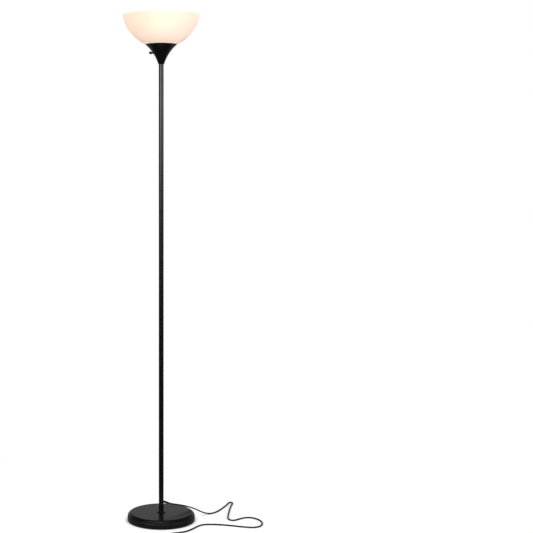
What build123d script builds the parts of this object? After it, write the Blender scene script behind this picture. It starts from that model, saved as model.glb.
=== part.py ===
from build123d import *
import math
import os

os.makedirs("parts", exist_ok=True)

# A torchiere floor lamp: weighted round base, pole in four lengths, trumpet cup and opal bowl shade.
# Millimetres and degrees. The origin is on the floor under the middle of the base. +Z is up, and
# +X is to the right of a viewer who looks along +Y at the front of the lamp.

# Overall sizes and clearances
lamp_height = 1780.0         # floor to the rim of the shade
slip = 0.05                  # radial clearance of a piece pushed or screwed into another
run_clear = 0.3              # clearance round a piece that turns
seat_gap = 0.3               # clearance between shells that lie one inside the other
edge_break = 0.3             # small chamfer on the cut ends of tubes

# Base
base_radius = 120.2
base_height = 28.6           # floor to the flat top
shoulder_radius = 14.0       # round between the side and the flat top
cover_wall = 1.2
cover_lift = 1.0             # lower edge of the cover above the floor
pad_thick = 2.0
pad_inset = 6.0              # edge of the pad back from the side of the base
plate_thick = 1.2
pocket_radius = 17.0         # recess under the base for the bolt head
head_lift = 2.6              # underside of the bolt head above the floor

# Bolt, washers and collar at the foot of the pole
bolt_radius = 5.0
bolt_flats = 16.0
bolt_head = 6.4
bolt_grip = 15.0             # length of bolt screwed into the foot insert
bolt_room = 0.5              # radial clearance of the bolt in plain holes
washer_radius = 15.0
washer_thick = 2.0
spring_washer_radius = 9.0
spring_washer_thick = 2.2
spring_washer_split = 1.5
collar_radius = 14.6
collar_height = 3.0
collar_round = 1.2

# Pole
pole_radius = 8.65
pole_wall = 1.0
insert_height = 20.0         # tapped plugs at the foot and at the top
joiner_length = 44.0
joiner_bore = 4.5
section_names = ["pole_bottom", "pole_lower", "pole_upper", "pole_top"]
joiner_names = ["joiner_low", "joiner_middle", "joiner_high"]

# Shade, a bowl cut from a sphere, with a flat floor
shade_radius = 133.4         # outside, at the rim
shade_over = 2.4             # radius of the bowl's sphere over that of the rim
shade_wall = 2.5
shade_flat = 33.0            # radius of the flat under the bowl
shade_lip_round = 1.1

# Cup, a trumpet under the shade
cup_rim_radius = 55.3
cup_waist_radius = 25.8      # at half height
cup_foot_radius = 10.4
cup_height = 67.6
cup_wall = 1.0
cup_foot_round = 0.8

# Nipple, washer and nut that clamp the cup to the pole
nipple_radius = 5.0
nipple_bore = 3.4
nipple_grip = 16.0           # length screwed into the top insert
nut_flats = 14.0
nut_height = 4.5
lock_washer_radius = 8.6
lock_washer_thick = 1.2
hub_gap = 1.5                # from the nut up to the socket cap

# Lamp socket with a turn switch
switch_drop = 32.8           # switch axis below the rim of the cup
switch_turn = 229.0          # direction of the switch about +Z, away from +X
cap_hub_radius = 8.0
cap_hub_height = 8.0
cap_wall = 1.5
block_radius = 15.6
block_below = 10.0           # block under the switch axis
block_above = 13.9           # block over the switch axis
sleeve_radius = 19.0
flange_radius = 26.0
flange_thick = 3.0
shell_radius = 14.3
shell_wall = 0.8
shell_floor_bore = 9.0
neck_over = 1.5              # sleeve above the shade ring
contact_radius = 4.0
contact_height = 3.0
terminal_offset = 9.0
terminal_head = 3.0
terminal_head_height = 2.0
terminal_shank = 1.5
terminal_depth = 6.0
wire_radius = 1.0
wire_bend = 2.2
wire_apart = 1.15            # each wire from the axis of the lead
ring_radius = 28.0
ring_height = 8.0
ring_round = 1.5
washer_seal_radius = 27.0
washer_seal_thick = 1.0

# Switch stem and knob
stem_radius = 2.7
knob_radius = 4.6
knob_length = 10.0
knob_reach = 60.0            # tip of the knob from the axis of the lamp
knob_chamfer = 1.3
knob_seat = 7.0              # length of stem inside the knob
rotor_radius = 5.0
rotor_half = 7.0
bush_radius = 4.2
bush_inside = 4.0            # bush inside the surface of the cup
bush_outside = 3.5           # bush outside the surface of the cup

# Bulb
bulb_length = 105.0
bulb_cap_radius = 13.15
bulb_cap_wall = 0.5
bulb_cap_height = 19.0
tip_radius = 4.5
tip_height = 2.0
insulator_height = 4.0
insulator_top = 11.0
bulb_neck_radius = 14.5
bulb_globe = 30.0
globe_wall = 1.5
globe_cut = 12.5             # lower edge of the diffuser under the middle of the globe
board_thick = 1.6
board_inset = 2.5

# Cord, its strain relief and its plug
cord_diameter = 4.8
cord_room = 0.1              # clearance of the cord in the relief
exit_height = 68.5           # axis of the relief where it meets the axis of the pole
exit_turn = 20.0             # direction of the exit about +Z
exit_dip = 20.0              # slope of the exit, downwards
exit_bend = 8.0              # bend of the lead inside the pole
exit_run = 10.0              # straight run of the cord out of the relief
relief_neck = 3.3
relief_root = 4.2
relief_end = 3.1
relief_length = 20.0
relief_stand = 0.2           # shoulder of the relief off the pole
relief_inside = 6.4          # inner end of the relief from the axis of the pole

# Coil of the spare length, tied up
coil_x = -48.0
coil_y = -231.0
coil_radius = 30.2           # outermost turn, at the middle of the cord
coil_spare = 0.6             # gap between turns and between layers
coil_turns_in = 1.5
coil_climb = 0.5
coil_turns_out = 1.5
coil_start = 90.0            # angle about the coil where the cord comes in
coil_entry = 15.0            # straight run of the cord before the coil
tie_band = 0.8
tie_width = 6.0
tie_gap = 0.4
tie_turn = 0.25              # place of the tie, in turns from the start of the coil
tie_round = 1.2
plug_relief_length = 30.0
plug_relief_end = 3.2
plug_relief_root = 5.5
plug_length = 34.0
plug_width = 25.0
plug_back_width = 15.0
plug_back_height = 12.0
plug_grip = 11.0             # length of the tapered back of the plug
plug_corner = 3.5
blade_length = 17.0
blade_width = 6.4
blade_thick = 1.5
blade_apart = 12.7
blade_chamfer = 0.6

# Route of the cord from the relief to the coil. The cord hangs over the shoulder of the base first,
# as distance from the axis of the lamp and height, and then lies on the floor, as x and y.
drop_route = [
    (54.9, 50.9), (73.8, 46.3), (90.8, 41.5), (106.8, 36.3), (122.2, 29.9),
    (136.2, 23.3), (149.6, 15.8), (161.6, 10.2), (173.0, 6.0),
]
floor_route = [
    (177.6, 66.8), (190.0, 75.8), (199.9, 87.7), (209.0, 103.5), (223.8, 137.4),
    (237.2, 171.9), (245.9, 192.0), (249.9, 204.2), (251.7, 213.2), (257.7, 217.5),
    (264.5, 215.4), (268.1, 208.4), (265.7, 195.0), (259.7, 169.5), (251.7, 121.7),
    (244.9, 71.5), (240.3, 30.1), (239.7, 8.8), (242.5, -5.7), (249.9, -15.6),
    (261.1, -15.4), (271.8, -6.5), (286.0, 7.2), (305.4, 20.1), (326.4, 17.6),
    (345.0, 0.2), (356.1, -25.4), (358.2, -53.9), (350.3, -83.0), (331.8, -98.5),
    (310.3, -99.3), (276.8, -89.7), (241.8, -76.3), (206.7, -67.4), (172.3, -64.8),
    (146.8, -72.6), (125.3, -94.4), (110.8, -114.6), (95.8, -134.2), (82.3, -147.1),
    (65.9, -157.5), (46.4, -164.0), (27.9, -171.3), (9.8, -180.3), (-8.6, -190.0),
]
route_ease = 0.45            # share of the shorter run that each bend takes up

# Heights worked out from the sizes above
plate_top = pad_thick + plate_thick
cover_inner_top = base_height - cover_wall
pocket_top = head_lift + bolt_head + spring_washer_thick + washer_thick
pole_bore = pole_radius - pole_wall
shade_sphere = shade_radius + shade_over
shade_centre = lamp_height + math.sqrt(shade_sphere**2 - shade_radius**2)
shade_inner = shade_sphere - shade_wall
shade_floor_low = shade_centre - math.sqrt(shade_sphere**2 - shade_flat**2)
shade_floor_top = shade_floor_low + shade_wall
cup_lip_radius = cup_rim_radius - cup_wall
cup_rim = shade_centre - math.sqrt(shade_sphere**2 - cup_lip_radius**2) - seat_gap
cup_bottom = cup_rim - cup_height
cup_floor = cup_bottom + cup_wall
section_length = (cup_bottom - base_height) / len(section_names)
nut_low = cup_floor + lock_washer_thick
hub_low = nut_low + nut_height + hub_gap
hub_top = hub_low + cap_hub_height
switch_axis = cup_rim - switch_drop
block_low = switch_axis - block_below
block_top = switch_axis + block_above
flange_low = shade_floor_low - flange_thick
seal_top = shade_floor_top + washer_seal_thick
ring_top = seal_top + ring_height
sleeve_top = ring_top + neck_over
knob_inner = knob_reach - knob_length
bulb_low = block_top + contact_height
bulb_cap_low = bulb_low + tip_height + insulator_height
bulb_cap_top = bulb_cap_low + bulb_cap_height
globe_centre = bulb_low + bulb_length - bulb_globe
globe_low = globe_centre - globe_cut
globe_edge = math.sqrt(bulb_globe**2 - globe_cut**2)
cord_radius = cord_diameter / 2
coil_pitch = cord_diameter + coil_spare
coil_turns = coil_turns_in + coil_climb + coil_turns_out
coil_low = tie_band + slip + cord_radius
coil_high = coil_low + coil_pitch
plug_height = 2 * coil_high

on_floor = (Align.CENTER, Align.CENTER, Align.MIN)
exit_place = Pos(0, 0, exit_height) * Rot(0, 0, exit_turn) * Rot(0, 90 + exit_dip, 0)
dip = math.radians(exit_dip)
relief_shoulder = (pole_radius + relief_root * math.sin(dip)) / math.cos(dip) + relief_stand
relief_tip = relief_shoulder + relief_length
switch_place = Pos(0, 0, switch_axis) * Rot(0, 0, switch_turn) * Rot(0, 90, 0)


# Helpers

def disc(radius, low, high):
    """Cylinder on the vertical axis between two heights."""
    return Pos(0, 0, low) * Cylinder(radius, high - low, align=on_floor)


def tube(outer, inner, low, high):
    """Hollow cylinder on the vertical axis between two heights."""
    return disc(outer, low, high) - disc(inner, low, high)


def turned(points):
    """Solid turned about the vertical axis from corners given as radius and height."""
    outline = Polyline(*[(radius, 0, height) for radius, height in points], close=True)
    return revolve(make_face(outline), Axis.Z)


def turned_edges(edges):
    """Solid turned about the vertical axis from a closed outline of lines and arcs."""
    return revolve(make_face(edges), Axis.Z)


def at(radius, height):
    """Point of a turned outline."""
    return Vector(radius, 0, height)


def circle_through(first, second, third):
    """Centre and radius, in the plane of a turned outline, of the circle through three points."""
    (ax, az), (bx, bz), (cx, cz) = first, second, third
    twice = 2 * (ax * (bz - cz) + bx * (cz - az) + cx * (az - bz))
    a2, b2, c2 = ax**2 + az**2, bx**2 + bz**2, cx**2 + cz**2
    x = (a2 * (bz - cz) + b2 * (cz - az) + c2 * (az - bz)) / twice
    z = (a2 * (cx - bx) + b2 * (ax - cx) + c2 * (bx - ax)) / twice
    return x, z, math.hypot(ax - x, az - z)


cup_arc_x, cup_arc_z, cup_arc_radius = circle_through(
    (cup_rim_radius, cup_rim),
    (cup_waist_radius, cup_rim - cup_height / 2),
    (cup_foot_radius, cup_bottom),
)


def cup_radius(height, inset=0.0):
    """Radius of the cup at a height, measured to its outside or to a wall set in from it."""
    return cup_arc_x - math.sqrt((cup_arc_radius + inset) ** 2 - (height - cup_arc_z) ** 2)


# Base

def base_shell():
    """Pressed cover with a rounded shoulder and a hole for the bolt."""
    edge = base_radius - shoulder_radius
    side = base_height - shoulder_radius
    inner = base_radius - cover_wall
    hole = bolt_radius + bolt_room
    bend = math.sqrt(0.5)
    outer_mid = at(edge + shoulder_radius * bend, side + shoulder_radius * bend)
    inner_bend = shoulder_radius - cover_wall
    inner_mid = at(edge + inner_bend * bend, side + inner_bend * bend)
    return turned_edges([
        Line(at(hole, base_height), at(edge, base_height)),
        ThreePointArc(at(edge, base_height), outer_mid, at(base_radius, side)),
        Line(at(base_radius, side), at(base_radius, cover_lift)),
        Line(at(base_radius, cover_lift), at(inner, cover_lift)),
        Line(at(inner, cover_lift), at(inner, side)),
        ThreePointArc(at(inner, side), inner_mid, at(edge, cover_inner_top)),
        Line(at(edge, cover_inner_top), at(hole, cover_inner_top)),
        Line(at(hole, cover_inner_top), at(hole, base_height)),
    ])


def base_weight():
    """Cement filling, bevelled under the shoulder, with a pocket for the bolt head."""
    outer = base_radius - cover_wall - seat_gap
    hole = bolt_radius + bolt_room
    return turned([
        (pocket_radius, plate_top),
        (outer, plate_top),
        (outer, base_height - shoulder_radius),
        (base_radius - shoulder_radius, cover_inner_top),
        (hole, cover_inner_top),
        (hole, pocket_top),
        (pocket_radius, pocket_top),
    ])


def base_plate():
    return tube(base_radius - cover_wall - seat_gap, pocket_radius, pad_thick, plate_top)


def floor_pad():
    return tube(base_radius - pad_inset, pocket_radius, 0, pad_thick)


def base_bolt():
    """Hexagon bolt from under the base into the foot of the pole."""
    head = extrude(Pos(0, 0, head_lift) * RegularPolygon(bolt_flats / 2, 6, major_radius=False), bolt_head)
    shank = disc(bolt_radius, head_lift + bolt_head, base_height + bolt_grip)
    return head + shank


def base_spring_washer():
    low = head_lift + bolt_head
    washer = tube(spring_washer_radius, bolt_radius + slip, low, low + spring_washer_thick)
    split = Pos(spring_washer_radius, 0, low) * Box(
        2 * spring_washer_radius, spring_washer_split, spring_washer_thick, align=on_floor
    )
    return washer - split


def base_washer():
    return tube(washer_radius, bolt_radius + slip, pocket_top - washer_thick, pocket_top)


def pole_collar():
    """Rounded ring round the foot of the pole."""
    collar = tube(collar_radius, pole_radius + slip, base_height, base_height + collar_height)
    rim = collar.edges().filter_by(GeomType.CIRCLE).group_by(Axis.Z)[-1].sort_by(SortBy.RADIUS)[-1]
    return fillet(rim, min(collar_round, 0.8 * collar_height))


# Pole

def pole_section(number):
    """One length of the pole, counted from the bottom."""
    low = base_height + number * section_length
    high = low + section_length
    section = turned([
        (pole_bore, low),
        (pole_radius - edge_break, low),
        (pole_radius, low + edge_break),
        (pole_radius, high - edge_break),
        (pole_radius - edge_break, high),
        (pole_bore, high),
    ])
    if number == 0:
        section -= exit_place * Cylinder(relief_neck + slip, 2 * pole_radius, align=on_floor)
    return section


def pole_joiner(number):
    """Hollow coupling inside two lengths of the pole."""
    middle = base_height + (number + 1) * section_length
    half = joiner_length / 2
    return tube(pole_bore - slip, joiner_bore, middle - half, middle + half)


def foot_insert():
    return tube(pole_bore - slip, bolt_radius + slip, base_height, base_height + insert_height)


def top_insert():
    return tube(pole_bore - slip, nipple_radius + slip, cup_bottom - insert_height, cup_bottom)


def cord_relief():
    """Tapered bush in the side of the pole, round the cord."""
    bush = turned([
        (cord_radius + cord_room, relief_inside),
        (relief_neck, relief_inside),
        (relief_neck, relief_shoulder),
        (relief_root, relief_shoulder),
        (relief_end, relief_tip),
        (cord_radius + cord_room, relief_tip),
    ])
    return exit_place * bush


def pole_lead():
    """The cord inside the lamp, from the outer end of the relief up to the top of the nipple."""
    corner = Vector(0, 0, exit_height)
    path = FilletPolyline(along_exit(relief_tip), corner, Vector(0, 0, hub_top), radius=exit_bend)
    return cord_tube(path)


# Cord

def along_exit(distance):
    """Point on the axis of the relief, at a distance from the axis of the pole."""
    return (exit_place * Pos(0, 0, distance)).position


def cord_tube(path):
    """Round cord along a path."""
    profile = Plane(origin=path @ 0, z_dir=path % 0) * Circle(cord_radius)
    return sweep(profile, path=path)


def coil_point(turn):
    """Middle of the cord in the coil, after a number of turns from its start."""
    back = coil_turns_in + coil_climb / 2
    radius = coil_radius - coil_pitch * (back - abs(turn - back))
    share = min(max((turn - coil_turns_in) / coil_climb, 0.0), 1.0)
    height = coil_low + coil_pitch * share**2 * (3 - 2 * share)
    angle = math.radians(coil_start + 360 * turn)
    return Vector(coil_x + radius * math.cos(angle), coil_y + radius * math.sin(angle), height)


def coil_direction(turn):
    """Direction of the cord in the coil."""
    step = 0.001
    return (coil_point(turn + step) - coil_point(turn - step)).normalized()


def biarc(start, start_way, end, end_way):
    """Two tangent arcs from one point and direction to another."""
    span = end - start
    ways = start_way + end_way
    bend = 2 * (1 - start_way.dot(end_way))
    along = span.dot(ways)
    reach = (math.sqrt(along**2 + bend * span.dot(span)) - along) / bend
    middle = (start + end + (start_way - end_way) * reach) * 0.5
    first = TangentArc(start, middle, tangent=start_way)
    second = TangentArc(middle, end, tangent=first % 1)
    return [first, second]


coil_in_way = coil_direction(0)
coil_out_way = coil_direction(coil_turns)
coil_in = coil_point(0) - coil_in_way * cord_diameter
coil_out = coil_point(coil_turns) + coil_out_way * cord_diameter


def coil_path():
    """Line of the spare length of cord: it spirals in, climbs a layer and spirals out again."""
    quarters = round(4 * coil_turns)
    stops = [coil_turns * number / quarters for number in range(quarters + 1)]
    edges = [Line(coil_in, coil_point(0))]
    for start, end in zip(stops, stops[1:]):
        edges += biarc(coil_point(start), coil_direction(start), coil_point(end), coil_direction(end))
    edges.append(Line(coil_point(coil_turns), coil_out))
    return Wire([edge.edge() for edge in edges])


def coil_gap():
    """Least clear distance between turns of the coil."""
    per_turn = 90
    points = [coil_point(number / per_turn) for number in range(round(per_turn * coil_turns) + 1)]
    nearest = min(
        (points[later] - points[number]).length
        for number in range(len(points))
        for later in range(number + per_turn // 2, len(points))
    )
    return nearest - cord_diameter


def cord_points():
    """Corners of the cord's route from the relief to the coil."""
    heading = math.radians(exit_turn)
    points = [along_exit(relief_tip), along_exit(relief_tip + exit_run)]
    points += [Vector(out * math.cos(heading), out * math.sin(heading), up) for out, up in drop_route]
    climb = coil_low - cord_radius
    lift_steps = 3
    for number, (x, y) in enumerate(floor_route):
        left = len(floor_route) - 1 - number
        lift = climb * max(lift_steps - left, 0) / (lift_steps + 1)
        points.append(Vector(x, y, cord_radius + lift))
    points.append(coil_in - coil_in_way * coil_entry)
    points.append(coil_in)
    return points


def bend_radii(points):
    """Radius at each corner, as large as its two runs allow."""
    radii = []
    for before, corner, after in zip(points, points[1:], points[2:]):
        run_in = corner - before
        run_out = after - corner
        half_turn = math.radians(run_in.get_angle(run_out)) / 2
        radii.append(route_ease * min(run_in.length, run_out.length) / math.tan(half_turn))
    return radii


def run_path():
    """Line of the free stretch of cord, from the relief over the base and along the floor to the coil."""
    points = cord_points()
    return FilletPolyline(*points, radius=bend_radii(points))


def coil_tie():
    """Flat band round the turns of the coil, standing on the floor."""
    outer = coil_radius - coil_pitch * tie_turn + cord_radius + tie_gap
    inner = coil_radius - coil_pitch * (tie_turn + 1) - cord_radius - tie_gap
    high = coil_high + cord_radius + tie_gap
    middle = (outer + inner) / 2
    width = outer - inner
    opening = Box(width, tie_width, high - tie_band, align=on_floor)
    band = Box(width + 2 * tie_band, tie_width, high + tie_band, align=on_floor)
    band = fillet(band.edges().filter_by(Axis.Y), tie_round)
    ring = band - Pos(0, 0, tie_band) * opening
    return Pos(coil_x, coil_y, 0) * Rot(0, 0, coil_start + 360 * tie_turn) * Pos(middle, 0, 0) * ring


def plug_place(along):
    """Frame on the axis of the plug, z along the plug and y up, at a distance from the cord's end."""
    side = Vector(0, 0, 1).cross(coil_out_way)
    return Plane(origin=coil_out + coil_out_way * along, x_dir=side, z_dir=coil_out_way).location


def plug_relief():
    cone = turned([
        (0, 0),
        (plug_relief_end, 0),
        (plug_relief_root, plug_relief_length),
        (0, plug_relief_length),
    ])
    return plug_place(0) * cone


def plug_body():
    """Moulded plug with a tapered back."""
    corner = min(plug_corner, 0.45 * plug_back_height)
    back = RectangleRounded(plug_back_width, plug_back_height, corner)
    front = RectangleRounded(plug_width, plug_height, corner)
    grip = loft([back, Pos(0, 0, plug_grip) * front])
    block = extrude(Pos(0, 0, plug_grip) * front, plug_length - plug_grip)
    return plug_place(plug_relief_length) * (grip + block)


def plug_blades():
    """Two flat blades on the face of the plug."""
    blades = []
    for side in (-1, 1):
        blade = Box(blade_thick, blade_width, blade_length, align=on_floor)
        blade = chamfer(blade.faces().sort_by(Axis.Z)[-1].edges().filter_by(Axis.Y), blade_chamfer)
        blade = Pos(side * blade_apart / 2, 0, 0) * blade
        blades.append(plug_place(plug_relief_length + plug_length) * blade)
    return Compound(children=blades)


# Head

def cup():
    """Trumpet with a flat foot, a hole for the nipple and a hole for the switch bush."""
    middle = (cup_rim + cup_floor) / 2
    outer_mid = cup_rim - cup_height / 2
    floor_edge = cup_radius(cup_floor, cup_wall)
    hole = nipple_radius + slip
    lip = cup_radius(cup_rim, cup_wall)
    shell = turned_edges([
        Line(at(hole, cup_bottom), at(cup_foot_radius, cup_bottom)),
        ThreePointArc(
            at(cup_foot_radius, cup_bottom), at(cup_radius(outer_mid), outer_mid), at(cup_rim_radius, cup_rim)
        ),
        Line(at(cup_rim_radius, cup_rim), at(lip, cup_rim)),
        ThreePointArc(
            at(lip, cup_rim), at(cup_radius(middle, cup_wall), middle), at(floor_edge, cup_floor)
        ),
        Line(at(floor_edge, cup_floor), at(hole, cup_floor)),
        Line(at(hole, cup_floor), at(hole, cup_bottom)),
    ])
    foot = shell.edges().filter_by(GeomType.CIRCLE).group_by(Axis.Z)[0].sort_by(SortBy.RADIUS)[-1]
    shell = fillet(foot, min(cup_foot_round, 0.8 * cup_wall))
    return shell - switch_place * Cylinder(bush_radius + slip, cup_rim_radius, align=on_floor)


def stem_bush():
    surface = cup_radius(switch_axis)
    bush = tube(bush_radius, stem_radius + run_clear, surface - bush_inside, surface + bush_outside)
    return switch_place * bush


def nipple():
    return tube(nipple_radius, nipple_bore, cup_bottom - nipple_grip, hub_top)


def nipple_washer():
    return tube(lock_washer_radius, nipple_radius + slip, cup_floor, nut_low)


def nipple_nut():
    hexagon = Pos(0, 0, nut_low) * RegularPolygon(nut_flats / 2, 6, major_radius=False)
    return extrude(hexagon, nut_height) - disc(nipple_radius + slip, nut_low, nut_low + nut_height)


def socket_cap():
    """Dished cap, screwed on the nipple by its hub."""
    dish = (hub_top + block_low) / 2
    inner = block_radius - cap_wall
    bore = nipple_radius + slip
    return turned([
        (bore, hub_low),
        (cap_hub_radius, hub_low),
        (cap_hub_radius, hub_top - cap_wall),
        (block_radius, dish),
        (block_radius, block_low),
        (inner, block_low),
        (inner, dish + cap_wall / 2),
        (cap_hub_radius, hub_top),
        (bore, hub_top),
    ])


def terminal_places():
    """Places of the two wire terminals under the switch block."""
    return [Pos(side * terminal_offset, 0, block_low) for side in (-1, 1)]


def switch_block():
    """Insulating block with a chamber for the rotor and holes for the stem and the terminals."""
    block = disc(block_radius, block_low, block_top)
    chamber = rotor_half + run_clear
    block -= switch_place * disc(rotor_radius + run_clear, -chamber, chamber)
    block -= switch_place * disc(stem_radius + run_clear, 0, 2 * block_radius)
    for place in terminal_places():
        block -= place * disc(terminal_shank + slip, 0, terminal_depth + slip)
    return block


def terminal_screws():
    """Two screws that hold the wires under the switch block."""
    screw = disc(terminal_head, -terminal_head_height, 0) + disc(terminal_shank, 0, terminal_depth)
    return Compound(children=[place * screw for place in terminal_places()])


def wire(side):
    """Wire from the end of the lead to the head of its terminal screw."""
    start = side * wire_apart
    end = side * (terminal_offset - terminal_head - slip)
    level = block_low - terminal_head_height / 2
    path = FilletPolyline((start, 0, hub_top), (start, 0, level), (end, 0, level), radius=wire_bend)
    return sweep(Plane(origin=path @ 0, z_dir=path % 0) * Circle(wire_radius), path=path)


def centre_contact():
    return disc(contact_radius, block_top, bulb_low)


def screw_shell():
    """Threaded shell for the bulb, with an inward foot on the switch block."""
    wall = tube(shell_radius, shell_radius - shell_wall, block_top, ring_top)
    foot = tube(shell_radius, shell_floor_bore, block_top, block_top + shell_wall)
    return wall + foot


def socket_sleeve():
    """Outer sleeve with the flange that carries the shade."""
    sleeve = disc(sleeve_radius, block_top, sleeve_top) + disc(flange_radius, flange_low, shade_floor_low)
    return sleeve - disc(shell_radius + slip, block_top, sleeve_top)


def shade():
    """Bowl of an even wall with a flat floor, a hole for the sleeve and a rounded lip."""
    hole = sleeve_radius + seat_gap
    rim_inner = math.sqrt(shade_inner**2 - (shade_centre - lamp_height) ** 2)
    inner_flat = math.sqrt(shade_inner**2 - (shade_centre - shade_floor_top) ** 2)
    low_mid = (lamp_height + shade_floor_low) / 2
    outer_mid = math.sqrt(shade_sphere**2 - (shade_centre - low_mid) ** 2)
    inner_mid = math.sqrt(shade_inner**2 - (shade_centre - low_mid) ** 2)
    bowl = turned_edges([
        Line(at(hole, shade_floor_low), at(shade_flat, shade_floor_low)),
        ThreePointArc(at(shade_flat, shade_floor_low), at(outer_mid, low_mid), at(shade_radius, lamp_height)),
        Line(at(shade_radius, lamp_height), at(rim_inner, lamp_height)),
        ThreePointArc(at(rim_inner, lamp_height), at(inner_mid, low_mid), at(inner_flat, shade_floor_top)),
        Line(at(inner_flat, shade_floor_top), at(hole, shade_floor_top)),
        Line(at(hole, shade_floor_top), at(hole, shade_floor_low)),
    ])
    lip = bowl.edges().filter_by(GeomType.CIRCLE).group_by(Axis.Z)[-1]
    return fillet(lip, min(shade_lip_round, 0.45 * shade_wall))


def shade_washer():
    return tube(washer_seal_radius, sleeve_radius + slip, shade_floor_top, seal_top)


def shade_ring():
    """Threaded ring that holds the shade on the sleeve."""
    ring = tube(ring_radius, sleeve_radius + slip, seal_top, ring_top)
    rim = ring.edges().filter_by(GeomType.CIRCLE).group_by(Axis.Z)[-1].sort_by(SortBy.RADIUS)[-1]
    return fillet(rim, min(ring_round, 0.8 * ring_height))


# Switch

def switch_rotor():
    rotor = disc(rotor_radius, -rotor_half, rotor_half)
    return switch_place * (rotor - disc(stem_radius + slip, 0, rotor_half))


def switch_stem():
    return switch_place * disc(stem_radius, 0, knob_inner + knob_seat)


def switch_knob():
    """Knob with bevelled ends on the end of the stem."""
    knob = disc(knob_radius, knob_inner, knob_reach)
    knob = chamfer(knob.edges().filter_by(GeomType.CIRCLE), knob_chamfer)
    return switch_place * (knob - disc(stem_radius + slip, knob_inner, knob_inner + knob_seat))


# Bulb

def bulb_tip():
    return disc(tip_radius, bulb_low, bulb_low + tip_height)


def bulb_insulator():
    low = bulb_low + tip_height
    return turned([(0, low), (tip_radius, low), (insulator_top, bulb_cap_low), (0, bulb_cap_low)])


def bulb_cap():
    inner = bulb_cap_radius - bulb_cap_wall
    foot = tube(bulb_cap_radius, insulator_top - bulb_cap_wall, bulb_cap_low, bulb_cap_low + bulb_cap_wall)
    return tube(bulb_cap_radius, inner, bulb_cap_low, bulb_cap_top) + foot


def bulb_body():
    """Body that flares from the cap to the edge of the globe."""
    spigot = bulb_cap_radius - bulb_cap_wall - slip
    shoulder = (bulb_neck_radius + globe_edge) / 2
    bend = bulb_cap_top + (globe_low - bulb_cap_top) * 0.55
    return turned([
        (0, bulb_cap_low + bulb_cap_wall),
        (spigot, bulb_cap_low + bulb_cap_wall),
        (spigot, bulb_cap_top),
        (bulb_neck_radius, bulb_cap_top),
        (shoulder, bend),
        (globe_edge, globe_low),
        (0, globe_low),
    ])


def led_board():
    return disc(globe_edge - globe_wall - board_inset, globe_low, globe_low + board_thick)


def bulb_diffuser():
    """Thin dome over the light board."""
    globe = Pos(0, 0, globe_centre) * (Sphere(bulb_globe) - Sphere(bulb_globe - globe_wall))
    return globe - disc(2 * bulb_globe, globe_low - 2 * bulb_globe, globe_low)


# Everything, node by node

pieces = {
    "base_shell": base_shell(),
    "base_weight": base_weight(),
    "base_plate": base_plate(),
    "floor_pad": floor_pad(),
    "base_bolt": base_bolt(),
    "base_spring_washer": base_spring_washer(),
    "base_washer": base_washer(),
    "pole_collar": pole_collar(),
    "foot_insert": foot_insert(),
    "top_insert": top_insert(),
    "cord_relief": cord_relief(),
    "pole_lead": pole_lead(),
    "cup": cup(),
    "stem_bush": stem_bush(),
    "nipple": nipple(),
    "nipple_washer": nipple_washer(),
    "nipple_nut": nipple_nut(),
    "socket_cap": socket_cap(),
    "switch_block": switch_block(),
    "terminal_screws": terminal_screws(),
    "wire_live": wire(1),
    "wire_neutral": wire(-1),
    "centre_contact": centre_contact(),
    "screw_shell": screw_shell(),
    "socket_sleeve": socket_sleeve(),
    "shade": shade(),
    "shade_washer": shade_washer(),
    "shade_ring": shade_ring(),
    "switch_rotor": switch_rotor(),
    "switch_stem": switch_stem(),
    "switch_knob": switch_knob(),
    "bulb_tip": bulb_tip(),
    "bulb_insulator": bulb_insulator(),
    "bulb_cap": bulb_cap(),
    "bulb_body": bulb_body(),
    "led_board": led_board(),
    "bulb_diffuser": bulb_diffuser(),
    "cord_run": cord_tube(run_path()),
    "cord_coil": cord_tube(coil_path()),
    "coil_tie": coil_tie(),
    "plug_relief": plug_relief(),
    "plug_body": plug_body(),
    "plug_blades": plug_blades(),
}
for number, name in enumerate(section_names):
    pieces[name] = pole_section(number)
for number, name in enumerate(joiner_names):
    pieces[name] = pole_joiner(number)

for name, piece in pieces.items():
    export_step(piece, f"parts/{name}.step")

section = math.pi * cord_radius**2
for name, path in (("cord_run", run_path()), ("cord_coil", coil_path())):
    share = pieces[name].volume / (section * path.length)
    print(name, "length", round(path.length, 1), "volume over section times length", round(share, 4))
print("bend radii:", [round(radius, 1) for radius in bend_radii(cord_points())])
print("least gap in the coil:", round(coil_gap(), 2))
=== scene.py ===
import math

import bpy
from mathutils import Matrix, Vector


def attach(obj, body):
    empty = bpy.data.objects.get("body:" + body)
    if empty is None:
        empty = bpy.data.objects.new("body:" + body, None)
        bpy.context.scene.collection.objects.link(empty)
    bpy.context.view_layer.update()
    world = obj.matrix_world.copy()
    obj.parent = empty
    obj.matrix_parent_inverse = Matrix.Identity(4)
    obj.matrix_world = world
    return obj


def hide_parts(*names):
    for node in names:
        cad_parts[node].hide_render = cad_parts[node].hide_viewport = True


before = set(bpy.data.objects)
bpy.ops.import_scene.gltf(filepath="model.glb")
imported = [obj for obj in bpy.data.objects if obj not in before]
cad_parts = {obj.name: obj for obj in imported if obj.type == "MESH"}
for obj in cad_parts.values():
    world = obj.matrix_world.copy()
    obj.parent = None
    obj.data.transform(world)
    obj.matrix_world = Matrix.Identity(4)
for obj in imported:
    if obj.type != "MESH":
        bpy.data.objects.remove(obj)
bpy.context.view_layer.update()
scene = bpy.context.scene

# A torchiere floor lamp in metres. The origin is on the floor under the base, and +Z is up.


def span(name):
    """Lowest and highest level of a solid."""
    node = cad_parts[name]
    levels = [(node.matrix_world @ Vector(corner)).z for corner in node.bound_box]
    return min(levels), max(levels)


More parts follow.
